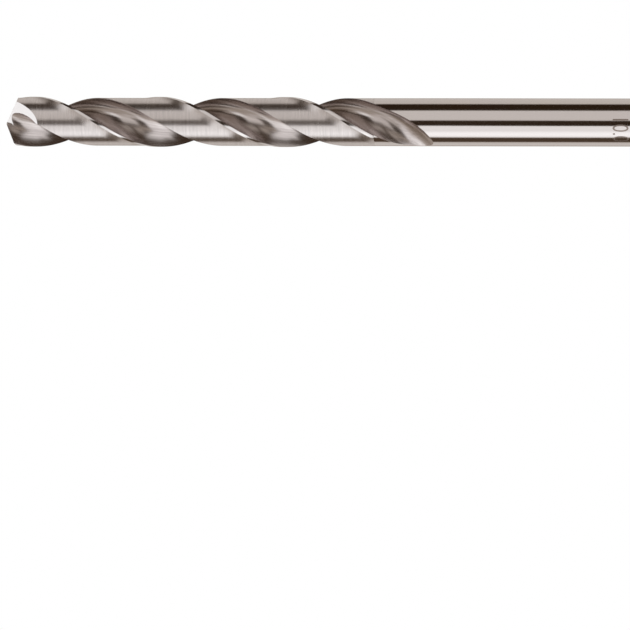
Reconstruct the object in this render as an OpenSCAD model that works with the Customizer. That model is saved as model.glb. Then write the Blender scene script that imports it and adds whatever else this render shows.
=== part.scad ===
// Jobber-length twist drill bit, ground from one bar of high speed steel.
// It stands on the end of its shank, with the point up along +Z. The Z axis is the drill's
// axis, the origin is the centre of the shank's end face, and the main lips run parallel to X.
// The flutes form a right-hand helix, so the drill cuts while it turns counter-clockwise
// as seen from above the point.

/* [Body] */
// Cutting diameter, across the two margins
drill_d = 10; // [8:0.1:14]
// Overall length, from the shank's end to the point
overall_l = 133; // [120:1:200]
// Diameter of the shank
shank_d = 9.6; // [7.6:0.1:13.4]
// Chamfer on the rim of the shank's end
shank_chamfer = 0.5; // [0.2:0.1:1.5]

/* [Lands] */
// Length of the margins and of the relieved lands behind them, from the point
margin_l = 74; // [50:0.1:80]
// Width of a margin, measured round the drill
margin_w = 0.75; // [0.4:0.05:1.6]
// Height of a margin above the relieved land behind it
margin_h = 0.22; // [0.15:0.01:0.5]
// Angle round the drill over which the hollow behind a margin runs out on the land
margin_hollow = 24; // [14:1:36]

/* [Flutes] */
// Length of the flutes with their run-out, from the point
flute_l = 86; // [82:0.1:110]
// Helix angle at the cutting diameter
helix_angle = 31.9; // [24:0.1:38]
// Thickness of the web between the flutes at the point
web_t = 2.8; // [1.6:0.1:3.2]
// Growth of the web's thickness by the end of the flutes
web_growth = 0.8; // [0:0.1:1.6]
// Width of a flute as an angle round the drill, from the lip's edge to the heel
flute_angle = 82; // [76:1:90]
// Radius that rounds the heel of a land
heel_r = 0.2; // [0.15:0.05:0.5]
// Radius of the grinding wheel, which shapes the run-out
wheel_r = 20; // [16:1:60]
// Share by which the wheel leaves the flute wider at the end of its run-out
runout_spread = 0.2; // [0:0.05:0.3]
// Angle by which the end of the run-out falls behind the helix
runout_lag = 4; // [0:0.5:8]

/* [Point] */
// Point angle between the two lips
point_angle = 135; // [118:1:140]
// Relief of the flat flank behind a lip
lip_relief = 12; // [8:0.5:16]
// Turn of the split's root past the opposite lip, as seen from above the point
split_turn = 37; // [30:0.5:44]
// Slope of the split's root below the horizontal
split_slope = 54; // [46:0.5:60]
// Roll of the split's heel face about its root
split_roll = 26; // [18:1:34]
// Angle between the split's two faces
split_open = 100; // [90:1:115]
// Distance by which each split's root passes the axis
split_gap = 0.35; // [0.15:0.05:0.6]
// Height above the point at which the split's root passes the axis
split_rise = 0.75; // [0.4:0.05:1]

/* [Hidden] */
$fn = 96;

drill_r = drill_d / 2;
body_r = drill_r - margin_h;
shank_r = shank_d / 2;
half_web = web_t / 2;
half_point = point_angle / 2;
flute_end_z = overall_l - flute_l;
margin_end_z = overall_l - margin_l;

lead = PI * drill_d / tan(helix_angle);
turn_per_mm = 360 / lead;

// Height at which the two main lips would meet if they ran in to the axis
lips_meet_z = overall_l + half_web * tan(lip_relief) / sin(half_point);

// How far the cutting shapes reach past the steel
clear = 1.5;

// Steps along the helix, as an angle, and round the flute's profile
ring_turn = 8;
lip_steps = 6;
hollow_steps = 7;
heel_steps = 3;

function turned(p, a) = [p.x * cos(a) - p.y * sin(a), p.x * sin(a) + p.y * cos(a)];
function polar(r, a) = [r * cos(a), r * sin(a)];

// The flute's face behind the straight lip, as a section at lips_meet_z. The lip's point at the
// distance s from its middle lies lower by s / tan(half_point), and the helix turns it by then.
function lip_side(s) = turned([s, half_web], turn_per_mm * s / tan(half_point));

lip_l = sqrt(drill_r * drill_r - half_web * half_web);
lip_edge_a = atan2(lip_side(lip_l).y, lip_side(lip_l).x);

// The hollow on the heel's side is an arc from the web's thinnest place up to the heel
heel = polar(body_r, lip_edge_a + flute_angle);
hollow_r = (heel.x * heel.x + pow(heel.y - half_web, 2)) / (2 * (heel.y - half_web));
hollow_c = [0, half_web + hollow_r];

// Centre of the heel's rounding, which touches the land inside and the hollow outside
round_y = (pow(body_r - heel_r, 2) - pow(hollow_r + heel_r, 2) + hollow_c.y * hollow_c.y) / (2 * hollow_c.y);
round_c = [-sqrt(pow(body_r - heel_r, 2) - round_y * round_y), round_y];
round_from_hollow_a = atan2(round_c.y - hollow_c.y, round_c.x - hollow_c.x);
hollow_end_a = round_from_hollow_a > 0 ? round_from_hollow_a - 360 : round_from_hollow_a;
round_start_a = hollow_end_a + 180;

// The rounding is left a little before it meets the land, so that the cut stays clean
round_end_a = atan2(round_c.y, round_c.x) - 20;

function flute_profile() = [
    for (i = [0:lip_steps])
        lip_side((lip_l + clear) * (1 - i / lip_steps)),
    for (i = [1:hollow_steps])
        hollow_c + polar(hollow_r, -90 + (hollow_end_a + 90) * i / hollow_steps),
    for (i = [1:heel_steps])
        round_c + polar(heel_r, round_start_a + (round_end_a - round_start_a) * i / heel_steps),
    round_c + polar(heel_r, round_end_a) + polar(2 * clear, round_end_a + 90),
    polar(drill_r + 3 * clear, 90)
];

// The flute moves outward as the web grows towards the shank, and at its end as the
// grinding wheel leaves the steel along its own arc
function web_lift(z) = web_growth / 2 * (overall_l - z) / flute_l;

runout_h = shank_r - half_web - web_growth / 2;
full_depth_z = flute_end_z + sqrt(wheel_r * wheel_r - pow(wheel_r - runout_h, 2));
cutter_end_z = full_depth_z - sqrt(wheel_r * wheel_r - pow(wheel_r - runout_h - clear, 2));
cutter_top_z = overall_l + clear;

function wheel_lift(z) = z > full_depth_z ? 0
    : wheel_r - sqrt(wheel_r * wheel_r - pow(full_depth_z - z, 2));

// Share of the run-out that lies above z, 0 where the flute has its full depth and 1 at its end
function runout_share(z) = max(0, (full_depth_z - z) / (full_depth_z - flute_end_z));

// A margin stands on the land, with the hollow clearance ground behind it. Its front is
// left past the lip's edge, and the flute cuts it there.
margin_a = margin_w / drill_r * 180 / PI;
rib_back_a = lip_edge_a - margin_a;
rib_front_a = lip_edge_a + 8;
rib_end_z = margin_end_z - 0.2;

function rib_profile() = [
    polar(drill_r, rib_front_a),
    polar(drill_r, lip_edge_a - margin_a / 3),
    polar(drill_r, rib_back_a),
    polar(body_r + 0.5 * margin_h, rib_back_a - 0.12 * margin_hollow),
    polar(body_r + 0.2 * margin_h, rib_back_a - 0.38 * margin_hollow),
    polar(body_r + 0.03 * margin_h, rib_back_a - 0.7 * margin_hollow),
    polar(body_r - 0.3 * margin_h, rib_back_a - margin_hollow),
    polar(body_r - 2 * margin_h, rib_back_a - 0.9 * margin_hollow),
    polar(body_r - 2 * margin_h, rib_front_a)
];

// A flute's section at the height z, moved outward along +Y and spread along X
function flute_at(z) = [
    for (p = flute_profile())
        turned([p.x * (1 + runout_spread * runout_share(z)), p.y + web_lift(z) + wheel_lift(z)],
            runout_lag * runout_share(z))
];

// Sweeps the sections of a flute, or one section of a rib, along the helix between two heights
module helix_sweep(top_z, end_z, is_flute) {
    n = len(is_flute ? flute_profile() : rib_profile());
    rings = ceil((top_z - end_z) * turn_per_mm / ring_turn);
    points = [
        for (k = [0:rings])
            let (z = top_z + (end_z - top_z) * k / rings)
            for (p = is_flute ? flute_at(z) : rib_profile())
                let (q = turned(p, turn_per_mm * (z - lips_meet_z)))
                [q.x, q.y, z]
    ];
    polyhedron(points, [
        [for (i = [0:n - 1]) i],
        [for (i = [n - 1:-1:0]) rings * n + i],
        for (k = [0:rings - 1], i = [0:n - 1])
            let (a = k * n + i)
            let (b = k * n + (i + 1) % n)
            each [[a, a + n, b + n], [a, b + n, b]]
    ]);
}

module both_sides() {
    children();
    rotate([0, 0, 180]) children();
}

module flute_cutter() {
    helix_sweep(cutter_top_z, cutter_end_z, true);
}

module margin_rib() {
    helix_sweep(overall_l, rib_end_z, false);
}

// The shank is plain up to the flutes and eases to the lands' diameter along their run-out
module blank() {
    cylinder(r1 = shank_r - shank_chamfer, r2 = shank_r, h = shank_chamfer);
    translate([0, 0, shank_chamfer])
        cylinder(r = shank_r, h = flute_end_z - shank_chamfer);
    translate([0, 0, flute_end_z])
        cylinder(r1 = shank_r, r2 = body_r, h = margin_end_z - flute_end_z);
    translate([0, 0, margin_end_z])
        cylinder(r = body_r, h = margin_l);
    both_sides() margin_rib();
}

// What the flat flank behind the lip at positive X takes off the top. Its turned frame has
// X along the lip, Y along the flank and Z up out of it.
module flank_cutter() {
    reach = 2 * drill_d;
    translate([0, half_web, lips_meet_z])
        rotate([0, 90 - half_point, 0])
        rotate([lip_relief, 0, 0])
        translate([-reach, -reach, 0])
        cube([2 * reach, 2 * reach, drill_d]);
}

// The wedge ground out between the lip at negative X and the heel of the other land
module split_cutter() {
    reach = 1.4 * drill_d;
    rotate([0, 0, 180 + split_turn])
        translate([0, split_gap, overall_l + split_rise])
        rotate([0, split_slope, 0])
        rotate([-split_roll, 0, 0])
        rotate([90, 0, 90])
        translate([0, 0, -drill_r])
        linear_extrude(2.5 * drill_d)
        polygon([[0, 0], [reach, 0], [reach, reach], polar(reach, split_open)]);
}

module twist_drill() {
    color("silver")
    difference() {
        blank();
        both_sides() flute_cutter();
        both_sides() flank_cutter();
        both_sides() split_cutter();
    }
}

twist_drill();
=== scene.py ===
import math

import bmesh
import bpy
from mathutils import Matrix, Vector


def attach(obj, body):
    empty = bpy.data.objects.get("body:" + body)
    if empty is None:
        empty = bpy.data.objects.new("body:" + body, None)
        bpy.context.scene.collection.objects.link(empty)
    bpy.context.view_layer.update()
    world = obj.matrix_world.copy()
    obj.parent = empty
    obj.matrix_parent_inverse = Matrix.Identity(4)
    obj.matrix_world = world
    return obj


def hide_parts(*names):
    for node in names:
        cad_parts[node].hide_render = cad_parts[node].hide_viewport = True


print("loading the frame")
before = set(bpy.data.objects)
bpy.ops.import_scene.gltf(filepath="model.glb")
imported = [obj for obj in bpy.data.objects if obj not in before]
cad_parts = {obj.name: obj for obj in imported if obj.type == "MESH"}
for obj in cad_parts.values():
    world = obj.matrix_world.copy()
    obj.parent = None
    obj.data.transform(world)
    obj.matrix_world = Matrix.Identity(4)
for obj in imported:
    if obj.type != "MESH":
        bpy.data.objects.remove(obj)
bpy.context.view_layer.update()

mm = 0.001  # the drill is shaped in millimetres and brought to metres at the end

drill = {
    "cuttingDiameter": 10.0,
    "length": 133.0,
    "shankDiameter": 9.6,
    "shankChamfer": 0.5,
    "marginLength": 74.0,
    "marginWidth": 0.5,
    "marginHeight": 0.22,
    "marginHollow": 1.9,  # width of the hollow that rises from the land to the margin
    "marginFront": 8.0,  # degrees that a margin runs on past the lip, for the flute to cut
    "fluteLength": 86.0,
    "helixAngle": 31.9,
    "webThickness": 2.8,  # at the point
    "webGrowth": 0.8,  # by the end of the flutes
    "fluteAngle": 82.0,  # degrees round the drill from a lip's edge to the heel
    "floorRadius": 3.2,  # of the flute's flat floor over the web
    "floorTurn": 25.0,  # degrees that the floor turns before the tighter arc to the heel
    "heelRadius": 0.2,
    "heelEnd": 12.0,  # degrees short of the land where the heel's rounding ends
    "wheelRadius": 20.0,  # of the grinding wheel, which shapes the run-out
    "runoutSpread": 0.2,  # share by which a flute is wider at the end of its run-out
    "runoutLag": 4.0,  # degrees by which that end falls behind the helix
    "pointAngle": 135.0,
    "lipRelief": 12.0,
    "splitTurn": 37.0,
    "splitSlope": 54.0,
    "splitRoll": 26.0,
    "splitOpen": 100.0,
    "splitGap": 0.35,
    "splitRise": 0.75,
    "ringTurn": 2.6,  # degrees of helix between two rings of the mesh
    "roundStep": 2.7,  # degrees round the drill between two points of a section
}

drillR = drill["cuttingDiameter"] / 2
bodyR = drillR - drill["marginHeight"]
shankR = drill["shankDiameter"] / 2
halfWeb = drill["webThickness"] / 2
halfPoint = math.radians(drill["pointAngle"] / 2)
lipRelief = math.radians(drill["lipRelief"])
fluteEndZ = drill["length"] - drill["fluteLength"]
marginEndZ = drill["length"] - drill["marginLength"]
turnPerMm = 2 * math.tan(math.radians(drill["helixAngle"])) / drill["cuttingDiameter"]
ringStep = math.radians(drill["ringTurn"]) / turnPerMm
lipsMeetZ = drill["length"] + halfWeb * math.tan(lipRelief) / math.sin(halfPoint)
clear = 1.5  # how far the cutting shapes reach past the steel


def pick(piece):
    bpy.ops.object.select_all(action="DESELECT")
    piece.select_set(True)
    bpy.context.view_layer.objects.active = piece


def removePiece(piece):
    pick(piece)
    bpy.ops.object.delete()


def applyPlace(piece):
    pick(piece)
    bpy.ops.object.transform_apply(location=True, rotation=True, scale=True)
    return piece


def applyModifier(piece, kind, **settings):
    pick(piece)
    bpy.ops.object.modifier_add(type=kind)
    modifier = piece.modifiers[-1]
    for key, value in settings.items():
        setattr(modifier, key, value)
    bpy.ops.object.modifier_apply(modifier=modifier.name)


def cut(piece, cutter):
    applyModifier(
        piece,
        "BOOLEAN",
        operation="DIFFERENCE",
        solver="EXACT",
        material_mode="TRANSFER",
        object=cutter,
    )
    removePiece(cutter)


def startEdit(piece):
    pick(piece)
    bpy.ops.object.mode_set(mode="EDIT")
    bpy.ops.mesh.select_all(action="SELECT")


def finishEdit():
    # leaves edit mode with all faces turned outwards
    bpy.ops.mesh.select_all(action="SELECT")
    bpy.ops.mesh.normals_make_consistent(inside=False)
    bpy.ops.object.mode_set(mode="OBJECT")


def turned(x, y, angle):
    cosine, sine = math.cos(angle), math.sin(angle)
    return (x * cosine - y * sine, x * sine + y * cosine)


def polar(radius, angle):
    return (radius * math.cos(angle), radius * math.sin(angle))


# The photo shows the drill lying, so "up" in the picture is one side of the standing drill
view = {
    "upAngle": -13.2,  # direction round the drill that is up in the picture, in degrees
    "towardShank": 6.0,  # degrees by which the camera looks from the shank's side
    "distance": 4.0,  # metres
    "pictureSize": 630,  # pixels
    "pixelsPerMm": 5.0,
    "tipPixel": 6.8,  # the drill's tip, from the picture's left
    "axisPixel": 122.1,  # where the drill's axis crosses the middle, from the picture's top
    "roll": 0.0025,  # radians
    "sensorWidth": 36.0,
    "clip": (0.1, 12.0),
}


def pictureAxes():
    upAngle = math.radians(view["upAngle"])
    lean = math.radians(view["towardShank"])
    pictureUp = Vector((math.cos(upAngle), math.sin(upAngle), 0))
    front = Vector((pictureUp.y, -pictureUp.x, 0))
    down = Vector((0, 0, -1))
    toCamera = down * math.sin(lean) + front * math.cos(lean)
    right = down * math.cos(lean) - front * math.sin(lean)
    return right, pictureUp, toCamera, front


def addCamera():
    right, pictureUp, toCamera, _ = pictureAxes()
    middle = view["pictureSize"] / 2
    fromTip = (middle - view["tipPixel"]) / view["pixelsPerMm"]
    fromTip /= math.cos(math.radians(view["towardShank"]))
    below = (middle - view["axisPixel"]) / view["pixelsPerMm"]
    cosRoll, sinRoll = math.cos(view["roll"]), math.sin(view["roll"])
    cameraX = right * cosRoll + pictureUp * sinRoll
    cameraY = pictureUp * cosRoll - right * sinRoll
    target = (Vector((0, 0, drill["length"] - fromTip)) - cameraY * below) * mm
    bpy.ops.object.camera_add()
    camera = bpy.context.object
    camera.name = "camera"
    facing = Matrix((cameraX, cameraY, toCamera)).transposed().to_4x4()
    camera.matrix_world = Matrix.Translation(target + toCamera * view["distance"]) @ facing
    seenWidth = view["pictureSize"] / view["pixelsPerMm"] * mm
    camera.data.sensor_width = view["sensorWidth"]
    camera.data.lens = view["sensorWidth"] * view["distance"] / seenWidth
    camera.data.clip_start, camera.data.clip_end = view["clip"]
    bpy.context.scene.camera = camera


class Amount:
    # a value that varies over a surface; arithmetic on it adds Math nodes
    def __init__(self, nodes, socket):
        self.nodes = nodes
        self.socket = socket

    def __add__(self, other):
        return self.nodes.maths("ADD", self, other)

    def __sub__(self, other):
        return self.nodes.maths("SUBTRACT", self, other)

    def __rsub__(self, other):
        return self.nodes.maths("SUBTRACT", other, self)

    def __mul__(self, other):
        return self.nodes.maths("MULTIPLY", self, other)

    def __truediv__(self, other):
        return self.nodes.maths("DIVIDE", self, other)

    def __rtruediv__(self, other):
        return self.nodes.maths("DIVIDE", other, self)

    __radd__ = __add__
    __rmul__ = __mul__


class Nodes:
    def __init__(self, tree):
        self.tree = tree
        tree.nodes.clear()

    def add(self, kind, settings=None, inputs=None, output=0):
        node = self.tree.nodes.new(kind)
        for key, value in (settings or {}).items():
            setattr(node, key, value)
        for key, value in (inputs or {}).items():
            socket = node.inputs[key]
            if isinstance(value, Amount):
                self.tree.links.new(value.socket, socket)
            elif socket.type == "RGBA" and len(value) == 3:
                socket.default_value = (*value, 1)
            else:
                socket.default_value = value
        return Amount(self, node.outputs[output] if len(node.outputs) else None)

    def maths(self, operation, *values):
        return self.add("ShaderNodeMath", {"operation": operation}, dict(enumerate(values)))

    def step(self, value, start, end):  # 0 before start, 1 after end
        places = {"Value": value, "From Min": start, "From Max": end}
        return self.add("ShaderNodeMapRange", {"interpolation_type": "SMOOTHSTEP"}, places)

    def mix(self, share, first, second):  # 0, 6 and 7 are the Mix node's sockets for colours
        colours = {0: share, 6: first, 7: second}
        return self.add("ShaderNodeMix", {"data_type": "RGBA"}, colours, output=2)

    def noise(self, vector, scale, detail=2.0, roughness=0.5):
        settings = {"Vector": vector, "Scale": scale, "Detail": detail, "Roughness": roughness}
        return self.add("ShaderNodeTexNoise", None, settings)

    def vector(self, x, y, z):
        return self.add("ShaderNodeCombineXYZ", None, {0: x, 1: y, 2: z})

    def parts(self, vector):
        node = self.tree.nodes.new("ShaderNodeSeparateXYZ")
        self.tree.links.new(vector.socket, node.inputs[0])
        return [Amount(self, output) for output in node.outputs]


# The studio is drawn on the world by direction: round the drill from the picture's front
# (0) to its top (90), and up toward the drill's point, in degrees.
studio = {
    "above": 0.5,
    "overhead": 0.2,
    "below": 0.06,
    "belowEnds": (-2, 4),  # heights between which the light below turns into the one above
    "overheadStarts": (38, 52),
    "flat": (0.85, 0.85, 0.85),  # what dull surfaces get from all sides
    "darkTint": (1.16, 1.34),  # powers of green and blue, which turn the darks brown
    "lightTint": (1.08, 1.12),
    "leanLevel": 6,  # a leaning card shifts round the drill as it rises from this height
    "cards": [
        # around, half width, height, half height, lean, softness, light
        (180, 60, -26, 22, 0, 6, 0.5),
        (180, 22, 34, 22, 0, 9, 1.0),
        (-66, 30, 27, 6, 0, 6, 0.56),
        (-32, 9, 24, 6, 0, 6, 1.1),
        (-32, 14, 38, 6, 0, 6, 0.75),
        (-85, 28, 39, 7, 0, 7, 0.26),
        (101, 34, 36, 9, 0, 8, 0.13),
        (38, 18, 55, 9, 0, 7, 0.03),
        (114, 28, 23, 9, 0, 5, 0.05),
        (2, 10, 54, 8, 0, 5, 0.9),
        (60, 8, 18, 4, 0, 5, 0.95),
        (-8, 8, 18, 4, 0, 5, 0.7),
        (60, 16, -19, 6, 0, 8, 0.6),
        (22, 12, -20, 7, 0, 6, 0.55),
        (-54, 8, -27, 6, 0, 5, 0.95),
        (-88, 27, -24, 14, 1.9, 8, 1.15),
        (-132, 18, 5, 6, 0, 3, 0.8),
        (126, 26, 3, 9, 0, 3, 0.75),
        (-47, 30, 4, 14, 0, 4, 1.18),
        (-60, 12, 6, 8, 0, 8, 1.48),
        (33, 25, 8, 12, 0, 4, 0.83),
        (-4.5, 12.5, 6, 9.5, 0, 3, 0.035),
        (77.5, 19.5, 5, 10, 0, 3, 0.03),
        (-95, 15, 4, 13, 0, 3, 0.09),
        (-2, 16, -12, 6, 0, 5, 0.42),
        (54, 12, 19, 5, 0, 5, 1.35),
        (0, 14, 23, 5, 0, 4, 0.8),
        (-28, 14, 69, 8, 0, 5, 1.6),
    ],
}


def tint(light):
    green, blue = studio["darkTint"] if light < 1 else studio["lightTint"]
    return (light, light**green, light**blue)


def addStudio():
    _, pictureUp, _, front = pictureAxes()
    world = bpy.context.scene.world or bpy.data.worlds.new("studio")
    bpy.context.scene.world = world
    world.use_nodes = True
    nodes = Nodes(world.node_tree)
    direction = nodes.add("ShaderNodeTexCoord", output="Generated")

    def along(axis):
        settings = {"operation": "DOT_PRODUCT"}
        return nodes.add("ShaderNodeVectorMath", settings, {0: direction, 1: axis}, "Value")

    halfTurn = 180
    degree = math.pi / halfTurn
    height = nodes.maths("ARCSINE", along((0, 0, 1))) / degree
    around = nodes.maths("ARCTAN2", along(pictureUp), along(front)) / degree
    share = nodes.step(height, *studio["belowEnds"])
    colour = nodes.mix(share, tint(studio["below"]), tint(studio["above"]))
    share = nodes.step(height, *studio["overheadStarts"])
    colour = nodes.mix(share, colour, tint(studio["overhead"]))
    for centre, halfWidth, level, halfHeight, lean, soft, light in studio["cards"]:
        aside = around + (height - studio["leanLevel"]) * lean - centre
        aside = nodes.maths("ABSOLUTE", nodes.maths("WRAP", aside, halfTurn, -halfTurn))
        above = nodes.maths("ABSOLUTE", height - level)
        share = nodes.step(aside, halfWidth + soft, halfWidth - soft)
        share = share * nodes.step(above, halfHeight + soft, halfHeight - soft)
        colour = nodes.mix(share, colour, tint(light))
    rays = nodes.tree.nodes.new("ShaderNodeLightPath")
    colour = nodes.mix(Amount(nodes, rays.outputs["Is Diffuse Ray"]), colour, studio["flat"])
    colour = nodes.mix(Amount(nodes, rays.outputs["Is Camera Ray"]), colour, (1, 1, 1))
    background = nodes.add("ShaderNodeBackground", None, {"Color": colour})
    nodes.add("ShaderNodeOutputWorld", None, {"Surface": background})


def newMaterial(name):
    material = bpy.data.materials.new(name)
    material.use_nodes = True
    return material, Nodes(material.node_tree)


def finishMaterial(nodes, colour, roughness, bump=None, bumpHeight=0.0, metallic=1.0):
    sockets = {"Base Color": colour, "Roughness": roughness, "Metallic": metallic}
    if bump is not None:
        places = {"Height": bump, "Distance": bumpHeight * mm, "Strength": 1.0}
        sockets["Normal"] = nodes.add("ShaderNodeBump", None, places)
    shader = nodes.add("ShaderNodeBsdfPrincipled", None, sockets)
    nodes.add("ShaderNodeOutputMaterial", None, {"Surface": shader})


floorPlate = {
    "radius": 65.0,
    "corners": 128,
    "under": 0.02,  # how far it lies under the drill's end
    "colour": (0.8, 0.79, 0.77),
    "grainShade": 0.97,
    "grainScale": 900.0,
    "roughness": 0.6,
}


def addFloor():
    bpy.ops.mesh.primitive_circle_add(
        vertices=floorPlate["corners"],
        radius=floorPlate["radius"] * mm,
        fill_type="NGON",
        location=(0, 0, -floorPlate["under"] * mm),
    )
    floor = applyPlace(bpy.context.object)
    floor.name = "floor"
    material, nodes = newMaterial("floorPaint")
    place = nodes.add("ShaderNodeTexCoord", output="Object")
    grain = nodes.noise(place, floorPlate["grainScale"])
    shade = [floorPlate["grainShade"] * c for c in floorPlate["colour"]]
    colour = nodes.mix(grain, floorPlate["colour"], shade)
    finishMaterial(nodes, colour, floorPlate["roughness"], metallic=0.0)
    floor.data.materials.append(material)


# Pitch is the size of the grinding lines in mm, and streak how far they shade the colour
steel = {
    "shank": {"colour": (0.62, 0.57, 0.555), "roughness": 0.11, "pitch": 0.12, "streak": 0.03},
    "land": {"colour": (0.62, 0.57, 0.555), "roughness": 0.26, "pitch": 0.3, "streak": 0.22},
    "margin": {"colour": (0.66, 0.62, 0.61), "roughness": 0.16, "pitch": 0.2, "streak": 0.04},
    # the flute's colour is darker and browner than the lands': painted shade of the hollow
    # flutes
    "flute": {"colour": (0.56, 0.503, 0.487), "roughness": 0.22, "pitch": 0.3, "streak": 0.3},
    "point": {"colour": (0.64, 0.60, 0.59), "roughness": 0.16, "pitch": 0.15, "streak": 0.04},
    "mark": {"colour": (0.33, 0.27, 0.24), "roughness": 0.42, "pitch": 0.1, "streak": 0.1},
}

grinding = {
    "detail": 3.0,
    "unevenness": 0.6,
    "cloudScale": 350.0,
    "roundStretch": 0.06,  # the smaller, the longer the lines that run round the drill
    "roundShares": (0.8, 0.25, 0.15),  # of the roughness: plain, from the lines, from the cloud
    "roundBump": 0.0004,  # mm
    "fluteStretch": 0.03,
    "fluteShares": (0.75, 0.5),  # of the roughness: plain, from the streaks
    "fluteBump": 0.001,
}


def grindingLines(nodes, finish, place):
    scale = 1 / (finish["pitch"] * mm)
    return nodes.noise(place, scale, grinding["detail"], grinding["unevenness"])


def streakedColour(nodes, finish, lines):
    dark = [c * (1 - finish["streak"]) for c in finish["colour"]]
    light = [min(1.0, c * (1 + finish["streak"])) for c in finish["colour"]]
    return nodes.mix(lines, dark, light)


def turnedSteel(name):
    # ground while the drill turned, so its fine lines run round the drill
    finish = steel[name]
    material, nodes = newMaterial(name + "Steel")
    x, y, z = nodes.parts(nodes.add("ShaderNodeTexCoord", output="Object"))
    stretch = grinding["roundStretch"]
    lines = grindingLines(nodes, finish, nodes.vector(x * stretch, y * stretch, z))
    cloud = nodes.noise(nodes.vector(x, y, z), grinding["cloudScale"])
    colour = streakedColour(nodes, finish, lines)
    plain, fromLines, fromCloud = grinding["roundShares"]
    roughness = finish["roughness"] * (plain + fromLines * lines + fromCloud * cloud)
    finishMaterial(nodes, colour, roughness, lines, grinding["roundBump"])
    return material


def fluteSteel(name):
    # ground along the helix, so its streaks follow the flute
    finish = steel[name]
    material, nodes = newMaterial(name + "Steel")
    x, y, z = nodes.parts(nodes.add("ShaderNodeTexCoord", output="Object"))
    turn = z * (turnPerMm / mm)
    cosine, sine = nodes.maths("COSINE", turn), nodes.maths("SINE", turn)
    acrossX, acrossY = x * cosine + y * sine, y * cosine - x * sine
    place = nodes.vector(acrossX, acrossY, z * grinding["fluteStretch"])
    streaks = grindingLines(nodes, finish, place)
    colour = streakedColour(nodes, finish, streaks)
    plain, fromStreaks = grinding["fluteShares"]
    roughness = finish["roughness"] * (plain + fromStreaks * streaks)
    finishMaterial(nodes, colour, roughness, streaks, grinding["fluteBump"])
    return material


# how many steps each stretch of a section is made in
sectionSteps = {"lip": 16, "floor": 8, "hollow": 24, "heel": 12, "rise": 14, "margin": 3}


def lipSide(s):
    # the flute's face behind the straight lip, at the distance s from the lip's middle
    return turned(s, halfWeb, turnPerMm * s / math.tan(halfPoint))


lipL = math.sqrt(drillR**2 - halfWeb**2)
lipEndX, lipEndY = lipSide(lipL)
lipEdge = math.atan2(lipEndY, lipEndX)


def addArc(points, centreX, centreY, radius, start, turn, count):
    for i in range(1, count + 1):
        x, y = polar(radius, start + turn * i / count)
        points.append((x + centreX, y + centreY))


def fluteProfile():
    # the straight lip's rake face, a flat arc over the web, a tighter arc up to the heel and
    # the heel's rounding, which touches the second arc outside and the land inside
    floorR, floorTurn = drill["floorRadius"], math.radians(drill["floorTurn"])
    startX, startY = -floorR * math.sin(floorTurn), halfWeb + floorR * (1 - math.cos(floorTurn))
    heelX, heelY = polar(bodyR, lipEdge + math.radians(drill["fluteAngle"]))
    awayX, awayY = math.sin(floorTurn), math.cos(floorTurn)
    acrossX, acrossY = heelX - startX, heelY - startY
    hollowR = (acrossX**2 + acrossY**2) / (2 * (acrossX * awayX + acrossY * awayY))
    hollowX, hollowY = startX + hollowR * awayX, startY + hollowR * awayY
    heelR = drill["heelRadius"]
    innerR = bodyR - heelR
    far, toHollow = math.hypot(hollowX, hollowY), math.atan2(hollowY, hollowX)
    cosine = (innerR**2 + far**2 - (hollowR + heelR) ** 2) / (2 * innerR * far)
    roundX, roundY = polar(innerR, toHollow + math.acos(cosine))
    floorStart = -math.pi / 2
    hollowStart = floorStart - floorTurn
    hollowEnd = math.atan2(roundY - hollowY, roundX - hollowX)
    if hollowEnd > hollowStart:
        hollowEnd -= 2 * math.pi
    roundStart = hollowEnd + math.pi
    roundEnd = math.atan2(roundY, roundX) - math.radians(drill["heelEnd"])
    lipSteps = sectionSteps["lip"]
    points = [lipSide((lipL + clear) * (1 - i / lipSteps)) for i in range(lipSteps + 1)]
    floorSteps = sectionSteps["floor"]
    for i in range(1, floorSteps + 1):
        x, y = polar(floorR, floorStart - floorTurn * i / floorSteps)
        points.append((x, y + halfWeb + floorR))
    turn = hollowEnd - hollowStart
    addArc(points, hollowX, hollowY, hollowR, hollowStart, turn, sectionSteps["hollow"])
    turn = roundEnd - roundStart
    addArc(points, roundX, roundY, heelR, roundStart, turn, sectionSteps["heel"])
    x, y = polar(2 * clear, roundEnd + math.pi / 2)
    points.append((points[-1][0] + x, points[-1][1] + y))
    points.append(polar(drillR + 3 * clear, math.pi / 2))
    return points


fluteSection = fluteProfile()


wheelR = drill["wheelRadius"]
runoutH = shankR - halfWeb - drill["webGrowth"] / 2
fullDepthZ = fluteEndZ + math.sqrt(wheelR**2 - (wheelR - runoutH) ** 2)
cutterEndZ = fullDepthZ - math.sqrt(wheelR**2 - (wheelR - runoutH - clear) ** 2)


def webLift(z):
    return drill["webGrowth"] / 2 * (drill["length"] - z) / drill["fluteLength"]


def wheelLift(z):
    if z > fullDepthZ:
        return 0.0
    return wheelR - math.sqrt(max(wheelR**2 - (fullDepthZ - z) ** 2, 0.0))


def fluteAt(z):
    share = max(0.0, (fullDepthZ - z) / (fullDepthZ - fluteEndZ))
    turn = turnPerMm * (z - lipsMeetZ) + math.radians(drill["runoutLag"]) * share
    lift = webLift(z) + wheelLift(z)
    spread = 1 + drill["runoutSpread"] * share
    return [turned(x * spread, y + lift, turn) for x, y in fluteSection]


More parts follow.
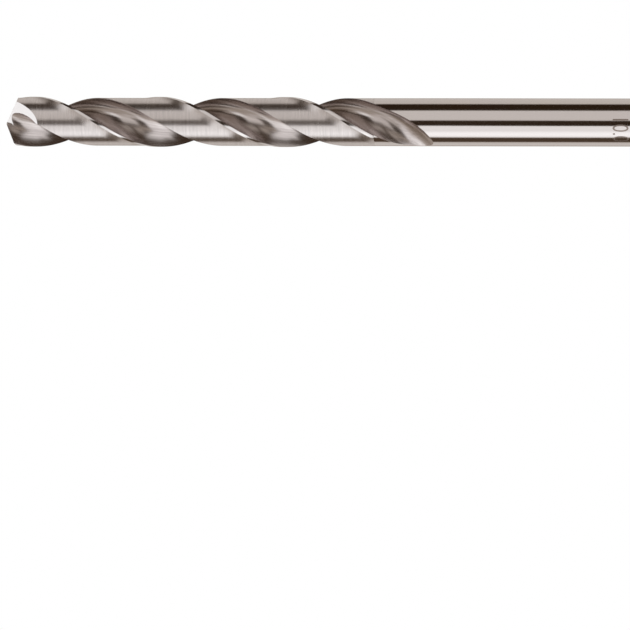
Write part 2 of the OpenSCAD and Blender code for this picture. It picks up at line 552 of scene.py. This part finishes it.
def outerProfile():
    # share of a margin's height and the angle, for both lands
    hollow = drill["marginHollow"] / drillR
    step = math.radians(drill["roundStep"])
    front = lipEdge + math.radians(drill["marginFront"])
    back = lipEdge - drill["marginWidth"] / drillR
    rise, flat = sectionSteps["rise"], sectionSteps["margin"]
    half = [((i / rise) ** 2, back - hollow * (1 - i / rise)) for i in range(rise + 1)]
    half += [(1.0, back + (lipEdge - back) * i / flat) for i in range(1, flat + 1)]
    half += [(1.0, front), (0.0, front + step / 2)]
    rest = back - hollow + math.pi - (front + step / 2)
    count = math.ceil(rest / step)
    half += [(0.0, front + step / 2 + rest * i / count) for i in range(1, count)]
    return [(share, angle + side) for side in (0, math.pi) for share, angle in half]


outerSection = outerProfile()


def outerAt(z, margins):
    chamfer = drill["shankChamfer"]
    if z < chamfer:
        landR = shankR - (chamfer - z)
    else:
        ease = (z - fluteEndZ) / (marginEndZ - fluteEndZ)
        landR = shankR + (bodyR - shankR) * min(1.0, max(0.0, ease))
    turn = turnPerMm * (max(z, fluteEndZ) - lipsMeetZ)
    height = drillR - landR if margins else 0.0
    return [polar(landR + share * height, angle + turn) for share, angle in outerSection]


def ringHeights(lowZ, highZ):
    # common to all sweeps, so that their meshes meet ring by ring
    first = math.ceil((lowZ - fluteEndZ) / ringStep)
    last = math.floor((highZ - fluteEndZ) / ringStep)
    return [fluteEndZ + ringStep * k for k in range(first, last + 1)]


def sweep(name, rings, material):
    # rings is a list of (height, section)
    count = len(rings[0][1])
    bpy.ops.object.select_all(action="DESELECT")
    bpy.ops.mesh.primitive_circle_add(vertices=count, radius=drillR)
    piece = bpy.context.object
    piece.name = name
    piece.data.materials.append(material)
    steps = len(rings) - 1
    applyModifier(
        piece,
        "SCREW",
        axis="Z",
        angle=0.0,
        screw_offset=1.0 * steps,
        steps=steps,
        render_steps=steps,
        use_merge_vertices=False,
    )
    vertices = piece.data.vertices
    for k, (z, section) in enumerate(rings):
        for i, (x, y) in enumerate(section):
            vertices[k * count + i].co = (x, y, z)
    startEdit(piece)
    bpy.ops.mesh.fill_holes(sides=0)
    finishEdit()
    return piece


def halfTurnCopy(piece):
    pick(piece)
    bpy.ops.object.duplicate()
    copy = bpy.context.object
    copy.rotation_euler.z += math.pi
    return applyPlace(copy)


def fluteCutter():
    heights = ringHeights(cutterEndZ, drill["length"] + clear)
    return sweep("fluteCutter", [(z, fluteAt(z)) for z in heights], finishes["flute"])


# The margins end in a small step, a little below the relieved lands
stepZ = marginEndZ - 0.2
stepHeight = 0.03
shankTopZ = marginEndZ - 0.1  # where the shank's finish ends
blankTopZ = drill["length"] + 0.8


def blank():
    rings = [(z, outerAt(z, False)) for z in (0.0, drill["shankChamfer"])]
    heights = ringHeights(fluteEndZ, blankTopZ)
    rings += [(z, outerAt(z, False)) for z in heights if z < stepZ]
    rings += [(stepZ, outerAt(stepZ, False))]
    rings += [(stepZ + stepHeight, outerAt(stepZ + stepHeight, True))]
    rings += [(z, outerAt(z, True)) for z in heights if z > stepZ + 2 * stepHeight]
    return sweep("drill", rings, finishes["land"])


# the cutting shapes of the point, which reach well past the steel
pointCutters = {"flankReach": 20.0, "flankDepth": 10.0, "splitReach": 14.0, "splitLength": 25.0}


def flankCutter(side):
    # the flat flank behind a lip, in a frame with X along the lip and Z out of the steel
    width, depth = 2 * pointCutters["flankReach"], pointCutters["flankDepth"]
    bpy.ops.mesh.primitive_cube_add(size=1)
    cutter = bpy.context.object
    cutter.scale = (width, width, depth)
    cutter.location = (0, 0, depth / 2)
    applyPlace(cutter)
    cutter.rotation_euler = (lipRelief, math.pi / 2 - halfPoint, side * math.pi)
    cutter.location = (0, halfWeb * (-1 if side else 1), lipsMeetZ)
    cutter.data.materials.append(finishes["point"])
    return applyPlace(cutter)


def splitCutter(side):
    # the wedge ground out between one lip and the heel of the other land
    reach = pointCutters["splitReach"]
    opening = math.radians(drill["splitOpen"])
    corners = [(0, 0), (reach, 0), (reach, reach), polar(reach, opening)]
    bpy.ops.mesh.primitive_circle_add(vertices=4, radius=reach, fill_type="NGON")
    cutter = bpy.context.object
    for vertex, (y, z) in zip(cutter.data.vertices, corners):
        vertex.co = (-drillR, y, z)
    startEdit(cutter)
    along = {"value": (pointCutters["splitLength"], 0, 0)}
    bpy.ops.mesh.extrude_region_move(TRANSFORM_OT_translate=along)
    finishEdit()
    roll, slope = math.radians(drill["splitRoll"]), math.radians(drill["splitSlope"])
    turn = math.radians(drill["splitTurn"]) + (math.pi if side == 0 else 0)
    x, y = turned(0, drill["splitGap"], turn)
    cutter.rotation_euler = (-roll, slope, turn)
    cutter.location = (x, y, drill["length"] + drill["splitRise"])
    cutter.data.materials.append(finishes["point"])
    return applyPlace(cutter)


sizeNumber = {
    "text": "10.0",
    "height": 3.2,
    "narrowing": 0.74,
    "thinning": -0.006,
    "baseline": 10.85,  # height above the shank's end
    "start": 8.0,  # degrees above the middle of the picture's front
    "depth": 0.04,
    "curveSteps": 6,
    "strip": 0.2,  # width of the strips that the strokes bend in round the shank
    "standOut": 0.3,  # how far the cutting shape stands out of the shank
    "weld": 0.0005,
}


def numberCutter():
    # the number's strokes, wrapped round the shank
    bpy.ops.object.text_add()
    number = bpy.context.object
    number.data.body = sizeNumber["text"]
    number.data.resolution_u = sizeNumber["curveSteps"]
    number.data.offset = sizeNumber["thinning"]
    pick(number)
    bpy.ops.object.convert(target="MESH")
    number = bpy.context.object
    lowest = min(v.co.y for v in number.data.vertices)
    highest = max(v.co.y for v in number.data.vertices)
    left = min(v.co.x for v in number.data.vertices)
    scale, narrowing = sizeNumber["height"] / (highest - lowest), sizeNumber["narrowing"]
    for v in number.data.vertices:
        v.co = ((v.co.x - left) * scale * narrowing, (v.co.y - lowest) * scale, 0)
    width = max(v.co.x for v in number.data.vertices)
    strip, thickness = sizeNumber["strip"], 1.0
    startEdit(number)
    for i in range(1, math.ceil(width / strip)):
        bpy.ops.mesh.bisect(plane_co=(strip * i, 0, 0), plane_no=(1, 0, 0))
        bpy.ops.mesh.select_all(action="SELECT")
    bpy.ops.mesh.extrude_region_move(TRANSFORM_OT_translate={"value": (0, 0, thickness)})
    finishEdit()
    frontAngle = math.radians(view["upAngle"] - 90 + sizeNumber["start"])
    inside, outside = shankR - sizeNumber["depth"], shankR + sizeNumber["standOut"]
    for v in number.data.vertices:
        radius = inside if v.co.z < thickness / 2 else outside
        x, y = polar(radius, frontAngle - v.co.x / shankR)
        v.co = (x, y, sizeNumber["baseline"] - v.co.y)
    startEdit(number)
    bpy.ops.mesh.remove_doubles(threshold=sizeNumber["weld"])
    finishEdit()
    number.data.materials.clear()
    number.data.materials.append(finishes["mark"])
    return number


cleaning = {
    "pocketArea": 0.002,
    "marginDepth": 0.01,  # how far under the cutting diameter a face still is a margin's
    "weld": 0.002,
    "smoothAngle": 11.0,  # degrees
}


def removePockets(piece):
    # the cuts leave a few tiny closed pockets on the edges of the heels
    mesh = bmesh.new()
    mesh.from_mesh(piece.data)
    tiny = []
    for face in mesh.faces:
        shared = any(len(edge.link_faces) > 2 for edge in face.edges)
        if shared and face.calc_area() < cleaning["pocketArea"]:
            tiny.append(face)
    bmesh.ops.delete(mesh, geom=tiny, context="FACES")
    mesh.to_mesh(piece.data)
    mesh.free()


def giveFinishes(piece):
    # what the cutters left of the blank is land, shank or margin
    for name in ("shank", "margin"):
        if finishes[name].name not in piece.data.materials:
            piece.data.materials.append(finishes[name])
    slots = {material.name: index for index, material in enumerate(piece.data.materials)}
    marginR = drillR - cleaning["marginDepth"]
    for face in piece.data.polygons:
        if face.material_index != slots[finishes["land"].name]:
            continue
        if face.center.z < shankTopZ:
            face.material_index = slots[finishes["shank"].name]
        elif all(piece.data.vertices[i].co.xy.length > marginR for i in face.vertices):
            face.material_index = slots[finishes["margin"].name]


def makeDrill():
    piece = blank()
    print("cutting the flutes")
    first = fluteCutter()
    second = halfTurnCopy(first)
    cut(piece, first)
    cut(piece, second)
    print("grinding the point")
    for side in (0, 1):
        cut(piece, flankCutter(side))
    for side in (0, 1):
        cut(piece, splitCutter(side))
    print("marking the size")
    cut(piece, numberCutter())
    removePockets(piece)
    giveFinishes(piece)
    startEdit(piece)
    bpy.ops.mesh.remove_doubles(threshold=cleaning["weld"])
    bpy.ops.mesh.select_all(action="SELECT")
    bpy.ops.mesh.quads_convert_to_tris(quad_method="BEAUTY", ngon_method="BEAUTY")
    bpy.ops.object.mode_set(mode="OBJECT")
    piece.scale = (mm, mm, mm)
    applyPlace(piece)
    bpy.ops.object.shade_smooth_by_angle(angle=math.radians(cleaning["smoothAngle"]))
    print("drill:", len(piece.data.polygons), "triangles")
    return piece


print("making the finishes")
finishes = {}
for name in steel:
    finishes[name] = fluteSteel(name) if name == "flute" else turnedSteel(name)

print("making the drill")
body = makeDrill()
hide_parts("twist_drill")
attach(body, "root")

print("setting the studio")
addStudio()
addFloor()
addCamera()
bpy.context.scene.view_settings.view_transform = "Standard"
